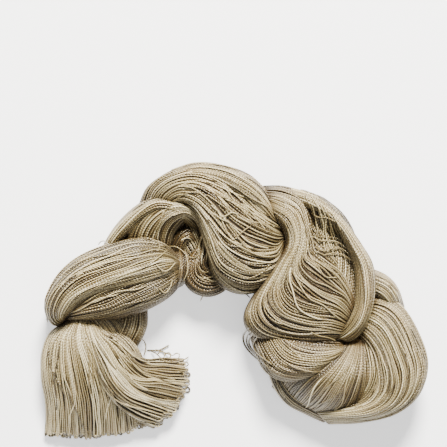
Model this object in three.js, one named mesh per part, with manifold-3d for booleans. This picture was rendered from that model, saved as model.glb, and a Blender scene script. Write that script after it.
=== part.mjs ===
import * as THREE from "three";
import { mergeVertices } from "three/addons/utils/BufferGeometryUtils.js";
import Module from "manifold-3d";

// A hank of silk yarn, lying loosely coiled on a surface. Units are mm, +Z is up,
// the surface is z = 0 and the origin is the middle of the hank's footprint.
// The yarn is one continuous skein, so the hank is one solid: the lobes that its
// bundle of yarn makes as it folds, fans out and doubles back, joined together.

// Driving sizes.
const HANK_LENGTH = 195; // along X, left edge of the fan to the tail's right edge
const SECTION_POWER = 2.1; // 2 is an ellipse, more is a fuller, flatter bundle
const AROUND = 16; // facets round a lobe
const STEPS_PER_ROW = 1.3; // sections drawn for each row of a table
const CAP_PUSH = 1.4; // how far a lobe's end swells past its last section
const CAP_SHRINK = 0.72; // size of the swelling's ring against that section
const SIMPLIFY = 0.3; // largest move when needless small facets are dropped
const SHIFT_X = -0.474; // brings the footprint's middle to the origin
const SHIFT_Y = -0.458;

// Each lobe is a table with a row for each section across the yarn, in the order
// in which the yarn runs. Columns: x and y of the section's two edges, the height
// of its crown, the height of its underside (below 0 is cut flat by the surface)
// and bow, how far the section bulges forward along the run.
const COLUMNS = ["x1", "y1", "x2", "y2", "crown", "under", "bow"];
const LOBES = {
  fan: [
    [   -80,  -3.75,    -67,  -3.25,     20,      6,      0],
    [   -83,  -9.75,    -67,  -9.75,     28,      1,      0],
    [ -91.5, -15.75,  -59.5, -13.25,     33,     -2,    3.5],
    [ -95.5, -25.75,    -51, -19.25,     33,     -3,    5.5],
    [   -96, -37.75,  -45.5, -27.75,     30,     -3,    6.5],
    [ -94.5, -49.25,    -43, -39.75,     24,     -3,      6],
    [ -94.5, -58.75,  -41.5, -51.75,     17,     -2,      5],
    [   -95, -65.25,    -41, -59.75,     12,     -1,      4],
  ],
  fan_right: [
    [   -74, -10.25,    -67,  -9.25,     27,     12,      0],
    [ -72.5, -17.75,    -63, -14.25,     34,     16,    0.5],
    [ -70.5, -29.25,  -56.5, -17.25,     36,     14,    1.5],
    [ -66.5, -41.75,    -49, -24.75,     34,      9,    2.5],
    [ -60.5, -51.75,  -42.5, -28.75,     29,      5,    3.5],
    [ -51.5, -59.25,    -34, -28.75,     22,      1,      5],
    [   -43, -63.75,  -25.5, -29.75,     14,     -1,      7],
  ],
  neck: [
    [   -64,   2.75,    -41,   5.75,     16,      2,      0],
    [   -63,  -7.25,  -42.5,  -3.75,     19,     -2,      0],
    [   -67, -16.25,    -43, -13.25,     20,     -2,      0],
    [   -75, -25.25,  -47.5, -22.75,     16,     -2,      0],
    [   -81, -34.25,    -55, -32.25,     10,      0,      0],
  ],
  leaf_upper: [
    [   -82, -10.25,    -83,  -6.25,     18,      6,      0],
    [ -88.5, -12.75,    -81,  -6.25,     28,      3,      0],
    [   -93,  -7.75,    -79,  -5.75,     36,      0,      0],
    [   -94,  -1.25,    -75,  -2.25,     41,      0,      0],
    [   -91,   7.25,    -70,   1.25,     44,      0,      0],
    [   -85,  15.75,  -62.5,   3.25,     45,      0,      0],
    [   -76,  22.75,    -53,   4.75,     46,      0,      0],
    [   -63,  28.25,  -42.5,   7.25,     46,      0,      0],
    [ -48.5,  31.75,    -33,  10.25,     44,      2,      0],
    [   -36,  30.25,  -27.5,  13.25,     39,      4,      0],
    [   -27,  23.25,  -25.5,  16.25,     29,      8,      0],
  ],
  leaf_lower: [
    [   -85,  -4.75,    -85,  -9.75,     18,      8,      0],
    [   -81,  -0.25,  -79.5,  -9.75,     31,      2,      0],
    [   -76,   5.75,  -70.5,  -9.75,     37,      0,      0],
    [   -69,  11.25,    -60,  -8.75,     40,     -2,      0],
    [   -61,  16.25,  -50.5,  -6.25,     41,     -2,      0],
    [ -50.5,  20.75,    -40,  -2.25,     40,     -2,      0],
    [ -38.5,  23.75,  -31.5,   2.75,     37,     -1,      0],
    [ -29.5,  23.25,  -26.5,   8.25,     32,      1,      0],
    [   -25,  18.75,  -24.5,  12.75,     24,      6,      0],
  ],
  arch_outer: [
    [   -68,  19.75,    -60,  19.75,     22,      2,      0],
    [ -63.5,  29.75,    -55,  29.75,     29,      0,      0],
    [   -57,  39.25,    -50,  34.75,     34,     -2,      0],
    [   -48,  47.75,    -43,  40.25,     37,     -2,      0],
    [   -38,  52.75,  -36.5,  43.75,     40,     -1,      0],
    [   -28,  51.25,  -30.5,  43.25,     40,      2,      0],
    [ -19.5,  46.75,    -25,  40.25,     36,      6,      0],
    [   -13,  38.75,  -18.5,  35.25,     27,      8,      0],
  ],
  arch_inner: [
    [   -57,  20.75,  -29.5,  18.75,     18,      0,      0],
    [   -57,  30.75,    -29,  27.75,     28,     -2,      0],
    [   -52,  39.75,  -27.5,  34.25,     35,     -2,    1.5],
    [ -42.5,  47.75,    -25,  38.25,     39,      0,      2],
    [ -30.5,  50.75,    -22,  40.75,     40,      2,    1.5],
    [   -21,  47.75,    -19,  40.25,     38,      4,    0.5],
    [   -14,  41.25,    -17,  36.75,     34,      2,      0],
    [   -11,  32.75,    -16,  31.75,     29,      0,      0],
    [   -12,  23.75,  -17.5,  25.75,     22,      0,      0],
  ],
  hollow: [
    [ -33.5,  19.75,    -25,  17.75,     14,     -2,      0],
    [ -31.5,  27.75,    -24,  22.75,     23,     -2,      0],
    [   -28,  34.25,  -22.5,  27.25,     28,     -2,      0],
    [   -22,  37.75,    -21,  29.25,     29,     -2,      0],
    [ -16.5,  33.75,  -19.5,  27.75,     26,     -2,      0],
    [   -14,  25.75,    -19,  24.75,     21,     -2,      0],
    [   -15,  18.75,  -19.5,  20.75,     15,     -1,      0],
  ],
  wrap: [
    [   -30,  27.75,    -24,  29.75,     18,      4,      0],
    [ -29.5,  22.25,  -21.5,  23.25,     29,      2,      0],
    [   -29,  16.25,    -21,  16.75,     31,      0,      0],
    [ -29.5,  10.25,    -22,  11.25,     28,     -1,      0],
    [   -31,   5.25,    -25,   7.75,     18,      0,      0],
  ],
  pouch: [
    [ -14.5,  36.75,    -11,  35.25,     24,     14,      0],
    [ -17.5,  29.25,  -10.5,  27.75,     28,      6,      0],
    [   -22,  22.25,  -10.5,  23.75,     29,      1,      0],
    [   -25,  15.75,  -10.5,  22.25,     29,     -1,      0],
    [   -24,   9.25,  -10.5,  21.25,     28,     -2,      0],
    [ -19.5,   4.25,    -10,  20.75,     27,     -2,      0],
    [   -12,   2.25,   -9.5,  20.75,     26,     -2,      0],
    [  -4.5,   4.75,     -9,  21.25,     25,     -1,      0],
    [    -1,   9.75,     -9,  22.75,     23,      0,      0],
    [    -3,  18.75,   -9.5,  26.75,     19,      4,      0],
  ],
  ball: [
    [   -47,  47.75,    -23,  43.75,     28,      8,      0],
    [   -42,  57.75,    -22,  44.75,     38,      2,      1],
    [   -31,  65.25,    -20,  43.75,     44,      0,      1],
    [   -18,  69.25,  -16.5,  38.25,     47,     -2,      0],
    [  -5.5,  68.25,    -13,  26.25,     49,     -3,      0],
    [   6.5,  63.75,   -7.5,  11.25,     49,     -3,      0],
    [    15,  57.25,    5.5,   4.25,     47,     -2,      0],
    [  21.5,  47.75,   20.5,   9.25,     42,     -1,      0],
    [  25.5,  37.75,   25.5,  24.75,     34,      3,      0],
    [  28.5,  33.25,   28.5,  30.25,     25,     12,      0],
  ],
  crown: [
    [   -30,  65.75,    -26,  59.75,     36,     16,      0],
    [   -18,  69.25,    -16,  58.75,     43,     10,      0],
    [  -5.5,  68.25,     -8,  56.25,     46,      8,      0],
    [   6.5,  63.75,      1,  51.25,     47,      8,      0],
    [  15.5,  56.75,    9.5,  45.25,     46,      8,      0],
    [    21,  47.25,   16.5,  40.25,     42,     10,      0],
    [  24.5,  37.75,   22.5,  36.75,     33,     16,      0],
  ],
  drape: [
    [    15,  57.75,     13,  44.25,     30,      8,      0],
    [  25.5,  57.25,     18,  41.25,     43,      3,      0],
    [    35,  53.75,   23.5,  35.75,     48,      0,      0],
    [    39,  45.75,     26,  29.25,     49,     -1,      0],
    [    41,  39.25,   24.5,  23.25,     49,     -2,      0],
    [  44.5,  36.25,     17,  12.75,     49,     -2,      0],
    [  50.5,  33.75,      6,  -6.25,     48,     -2,      0],
    [  56.5,  30.75,     11, -17.75,     47,     -3,      0],
    [    60,  25.25,     27, -22.25,     44,     -3,      0],
    [  61.5,  16.25,     42, -21.75,     41,     -1,      0],
    [    63,   5.25,   51.5, -20.25,     36,      3,      0],
  ],
  mesh: [
    [    34,  55.75,     46,  51.25,     38,     10,      0],
    [    36,  47.75,   53.5,  45.25,     45,      4,      0],
    [    37,  39.75,   59.5,  36.75,     43,      0,      0],
    [  39.5,  33.75,     62,  30.25,     35,      0,      0],
    [    43,  28.25,     63,  24.25,     22,      0,      0],
  ],
  strap: [
    [    29,  56.75,     30,  48.75,     38,     18,      0],
    [    40,  53.25,     36,  46.25,     46,     16,      0],
    [    48,  47.75,   43.5,  43.25,     48,     14,      0],
    [    56,  39.25,     51,  35.75,     49,     12,      0],
    [  63.5,  28.75,   56.5,  25.75,     49,     10,      0],
    [    69,  19.25,   59.5,  17.75,     50,      8,      0],
    [  70.5,   8.25,   60.5,   7.75,     50,      6,      0],
    [  69.5,  -2.25,     60,  -1.25,     48,      6,      0],
    [    66, -12.75,     57,  -8.25,     44,      6,      0],
    [    59, -19.75,   53.5, -13.25,     36,      8,      0],
    [    53, -19.25,     51, -17.25,     27,     12,      0],
  ],
  roll: [
    [   8.5, -14.25,     26,  -7.25,     24,      2,      0],
    [    12, -25.75,     30, -13.25,     36,     -1,      0],
    [  17.5, -35.75,     35, -15.25,     41,     -2,      2],
    [  28.5, -39.75,   41.5, -16.75,     42,     -2,      2],
    [    40, -37.75,     48, -17.75,     41,      0,      1],
    [  50.5, -31.25,     54, -18.75,     36,      2,      0],
    [    58, -22.75,   58.5, -19.25,     26,     10,      0],
  ],
  tail_under: [
    [  17.5, -26.75,     34, -19.25,     18,      2,      0],
    [  18.5, -35.25,     38, -28.25,     25,     -2,      0],
    [  21.5, -43.75,     41, -34.25,     26,     -2,      0],
    [  27.5, -51.75,     47, -39.25,     25,     -2,      0],
    [    37, -57.25,     54, -43.25,     22,     -2,      0],
    [    46, -61.75,     58, -48.25,     16,      0,      0],
  ],
  tail_left: [
    [    57, -17.25,     66, -15.25,     26,      8,      0],
    [  50.5, -22.25,   69.5, -21.25,     36,      2,    1.5],
    [    40, -28.25,   72.5, -28.25,     41,      0,    3.5],
    [    29, -32.25,     75, -37.25,     39,     -1,    6.5],
    [    22, -36.25,   74.5, -46.25,     30,     -1,    9.5],
    [    20, -43.25,     67, -53.25,     17,      0,    7.5],
  ],
  tail_right: [
    [    61, -18.25,     66,   0.75,     28,      6,      0],
    [    63, -19.75,     73,   3.75,     38,      1,     -1],
    [    66, -25.25,     84,  -1.25,     43,     -2,     -1],
    [  67.5, -32.25,   92.5, -14.75,     45,     -3,      0],
    [  67.5, -40.75,     97, -30.25,     45,     -3,      1],
    [    64, -47.25,   93.5, -45.25,     42,     -3,    1.5],
    [  57.5, -50.75,     82, -55.75,     37,     -2,      1],
    [  49.5, -52.75,     65, -60.75,     30,     -1,      0],
    [    41, -53.75,     49, -62.25,     20,      2,      0],
  ],
  shoulder: [
    [    62,  18.75,     63,   5.75,     26,      4,      0],
    [  69.5,  16.25,   69.5,   1.75,     32,      0,      0],
    [    77,  13.25,     74,  -1.25,     34,     -2,      0],
    [    83,   7.25,     77,  -5.75,     31,     -2,      0],
    [    87,  -2.25,     80, -10.25,     20,      0,      0],
  ],
  leaf_fill: [
    [   -86,  -1.25,    -82,  -7.25,     18,      4,      0],
    [   -81,   9.75,    -72,  -6.25,     31,      0,      0],
    [   -67,  20.75,    -58,  -4.25,     37,     -2,      0],
    [   -49,  25.75,    -43,  -0.25,     37,     -2,      0],
    [   -31,  24.75,    -29,   6.75,     30,      0,      0],
  ],
  tail_fill: [
    [    59, -19.25,     73,  -6.25,     26,      6,      0],
    [    58, -28.25,     81, -19.25,     36,      0,      0],
    [    57, -37.25,     84, -35.25,     37,     -2,      0],
    [    53, -46.25,     78, -48.25,     31,     -2,      0],
    [    45, -52.25,     60, -56.25,     20,      0,      0],
  ],
  right_fill: [
    [    23,  50.75,     46,  47.25,     30,      2,      0],
    [    26,  36.75,     59,  32.75,     39,     -2,      0],
    [    20,  20.75,     67,  19.75,     41,     -3,      0],
    [    13,   3.75,   67.5,   4.75,     41,     -3,      0],
    [    13, -11.25,   65.5,  -8.25,     37,     -3,      0],
    [    24, -21.25,     60, -17.25,     26,      0,      0],
  ],
  pouch_fill: [
    [   -34,  34.75,    -12,  51.75,     20,      2,      0],
    [ -29.5,  27.75,     -8,  42.75,     26,     -2,      0],
    [ -24.5,  20.75,     -5,  31.75,     26,     -2,      0],
    [ -20.5,  13.25,     -2,  18.75,     23,     -2,      0],
    [   -15,   6.75,      0,  10.75,     19,      0,      0],
  ],
  knot_fill: [
    [   -81,   1.75,    -57,   3.75,     22,      2,      0],
    [   -81,  -7.25,    -59,  -5.25,     26,     -2,      0],
    [   -78, -15.25,    -53, -12.25,     26,     -2,      0],
    [   -73, -23.25,    -51, -20.25,     18,      0,      0],
  ],
};

// Smooth value of a lobe's columns at s, counted in rows.
function sectionAt(rows, s) {
  const last = rows.length - 1;
  const clamped = Math.min(Math.max(s, 0), last);
  const i = Math.min(Math.floor(clamped), last - 1);
  const t = clamped - i;
  const section = {};
  COLUMNS.forEach((name, c) => {
    const p1 = rows[i][c];
    const p2 = rows[i + 1][c];
    const p0 = i > 0 ? rows[i - 1][c] : 2 * p1 - p2;
    const p3 = i + 2 <= last ? rows[i + 2][c] : 2 * p2 - p1;
    const m1 = (p2 - p0) / 2;
    const m2 = (p3 - p1) / 2;
    section[name] =
      (2 * t ** 3 - 3 * t ** 2 + 1) * p1 +
      (t ** 3 - 2 * t ** 2 + t) * m1 +
      (-2 * t ** 3 + 3 * t ** 2) * p2 +
      (t ** 3 - t ** 2) * m2;
  });
  return section;
}

// Unit direction in plan in which the yarn runs through a section.
function forwardAt(rows, s) {
  const here = sectionAt(rows, s);
  const ahead = sectionAt(rows, Math.min(s + 0.05, rows.length - 1));
  const behind = sectionAt(rows, Math.max(s - 0.05, 0));
  const wx = here.x2 - here.x1;
  const wy = here.y2 - here.y1;
  const run = [
    ahead.x1 + ahead.x2 - behind.x1 - behind.x2,
    ahead.y1 + ahead.y2 - behind.y1 - behind.y2,
  ];
  const length = Math.hypot(wx, wy) || 1;
  const side = Math.sign(-wy * run[0] + wx * run[1]) || 1;
  return [(-wy / length) * side, (wx / length) * side];
}

const power = (v) => Math.sign(v) * Math.abs(v) ** (2 / SECTION_POWER);

// The ring of points of one section, scaled about its middle and pushed forward.
function ringAt(rows, s, scale, push) {
  const c = sectionAt(rows, s);
  const [fx, fy] = forwardAt(rows, s);
  const ring = [];
  for (let k = 0; k < AROUND; k++) {
    const angle = (2 * Math.PI * k) / AROUND;
    const u = power(Math.cos(angle)) * scale;
    const v = power(Math.sin(angle)) * scale;
    const bulge = c.bow * (1 - u * u) + push;
    ring.push([
      (c.x1 + c.x2) / 2 + ((c.x2 - c.x1) / 2) * u + fx * bulge,
      (c.y1 + c.y2) / 2 + ((c.y2 - c.y1) / 2) * u + fy * bulge,
      (c.crown + c.under) / 2 + ((c.crown - c.under) / 2) * v,
    ]);
  }
  return ring;
}

const wasm = await Module();
wasm.setup();

// A lobe as a closed solid: its sections skinned, its ends swollen and closed.
function lobeSolid(rows) {
  const last = rows.length - 1;
  const count = Math.round(last * STEPS_PER_ROW) + 1;
  const rings = [ringAt(rows, 0, CAP_SHRINK, -CAP_PUSH)];
  for (let i = 0; i < count; i++)
    rings.push(ringAt(rows, (last * i) / (count - 1), 1, 0));
  rings.push(ringAt(rows, last, CAP_SHRINK, CAP_PUSH));
  const points = rings.flat();
  const triangles = [];
  for (let i = 0; i + 1 < rings.length; i++)
    for (let k = 0; k < AROUND; k++) {
      const a = i * AROUND + k;
      const b = i * AROUND + ((k + 1) % AROUND);
      const c = a + AROUND;
      const d = b + AROUND;
      triangles.push(a, b, d, a, d, c);
    }
  for (const [ring, start, flip] of [
    [rings[0], 0, true],
    [rings[rings.length - 1], (rings.length - 1) * AROUND, false],
  ]) {
    const middle = [0, 1, 2].map(
      (axis) => ring.reduce((sum, p) => sum + p[axis], 0) / AROUND,
    );
    points.push(middle);
    for (let k = 0; k < AROUND; k++) {
      const a = start + k;
      const b = start + ((k + 1) % AROUND);
      triangles.push(...(flip ? [b, a] : [a, b]), points.length - 1);
    }
  }
  const build = () =>
    new wasm.Manifold(
      new wasm.Mesh({
        numProp: 3,
        vertProperties: new Float32Array(
          points.flatMap(([x, y, z]) => [x + SHIFT_X, y + SHIFT_Y, z]),
        ),
        triVerts: new Uint32Array(triangles),
      }),
    );
  let solid = build();
  if (solid.volume() < 0) {
    for (let i = 0; i < triangles.length; i += 3)
      [triangles[i + 1], triangles[i + 2]] = [triangles[i + 2], triangles[i + 1]];
    solid = build();
  }
  return solid;
}

// The outer skin only: shells sealed inside the joined lobes are dropped.
function outerShell(mesh) {
  const { vertProperties: v, triVerts: t, numProp } = mesh;
  const parent = Array.from({ length: v.length / numProp }, (_, i) => i);
  const find = (i) => {
    while (parent[i] !== i) i = parent[i] = parent[parent[i]];
    return i;
  };
  for (let i = 0; i < t.length; i += 3)
    for (const j of [t[i + 1], t[i + 2]]) parent[find(t[i])] = find(j);
  const volumes = new Map();
  for (let i = 0; i < t.length; i += 3) {
    const [a, b, c] = [0, 1, 2].map((k) =>
      new THREE.Vector3().fromArray(v, t[i + k] * numProp),
    );
    const root = find(t[i]);
    volumes.set(root, (volumes.get(root) ?? 0) + a.dot(b.cross(c)) / 6);
  }
  const best = [...volumes].sort((p, q) => q[1] - p[1])[0][0];
  const kept = [];
  for (let i = 0; i < t.length; i += 3)
    if (find(t[i]) === best) kept.push(t[i], t[i + 1], t[i + 2]);
  return kept;
}

let joined = null;
for (const rows of Object.values(LOBES)) {
  const solid = lobeSolid(rows);
  joined = joined ? joined.add(solid) : solid;
}
// The surface flattens everything that would reach below it.
joined = joined.trimByPlane([0, 0, 1], 0).simplify(SIMPLIFY);

const mesh = joined.getMesh();
let geometry = new THREE.BufferGeometry()
  .setAttribute("position", new THREE.BufferAttribute(mesh.vertProperties, 3))
  .setIndex(outerShell(mesh));
geometry = mergeVertices(geometry, 1e-4);
geometry.computeVertexNormals();

const silk = new THREE.MeshStandardMaterial({
  color: 0xb9a888,
  roughness: 0.55,
  metalness: 0,
});
const hank = new THREE.Mesh(geometry, silk);
hank.name = "hank";

const root = new THREE.Group();
root.name = "silk_hank";
root.userData.lengthMm = HANK_LENGTH;
root.add(hank);
export default root;
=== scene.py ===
import math

import bpy
import mathutils
import numpy as np
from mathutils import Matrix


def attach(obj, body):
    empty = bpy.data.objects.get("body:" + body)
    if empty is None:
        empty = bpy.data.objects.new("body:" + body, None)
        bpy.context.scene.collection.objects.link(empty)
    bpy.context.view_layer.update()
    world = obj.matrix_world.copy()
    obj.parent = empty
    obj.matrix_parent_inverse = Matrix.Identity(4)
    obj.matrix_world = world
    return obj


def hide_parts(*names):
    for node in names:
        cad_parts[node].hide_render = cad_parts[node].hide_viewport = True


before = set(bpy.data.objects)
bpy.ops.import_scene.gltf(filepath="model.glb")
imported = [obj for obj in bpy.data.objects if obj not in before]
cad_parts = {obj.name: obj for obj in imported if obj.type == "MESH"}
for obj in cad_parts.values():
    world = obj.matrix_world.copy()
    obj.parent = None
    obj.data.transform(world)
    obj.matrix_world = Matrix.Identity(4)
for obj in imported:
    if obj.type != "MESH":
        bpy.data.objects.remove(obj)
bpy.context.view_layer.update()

# A hank of silk yarn lying on a pale floor. Lengths in the tables are mm in the
# part's own frame: +Z up, the floor at z = 0.

MM = 0.001
SECTION_POWER = 2.1
SHIFT = np.array([-0.474, -0.458])
YARN = 1.02          # thickness of one strand of yarn
PLY_PERIOD = 1.5     # one crossing of the yarn's two plies
CAMERA_AT = (-4.724, 38.542)   # the point of the floor in the middle of the view
FIELD = 223.5        # width of the view at the height FIELD_Z
FIELD_Z = 20.0
LENS = 150.0

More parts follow.
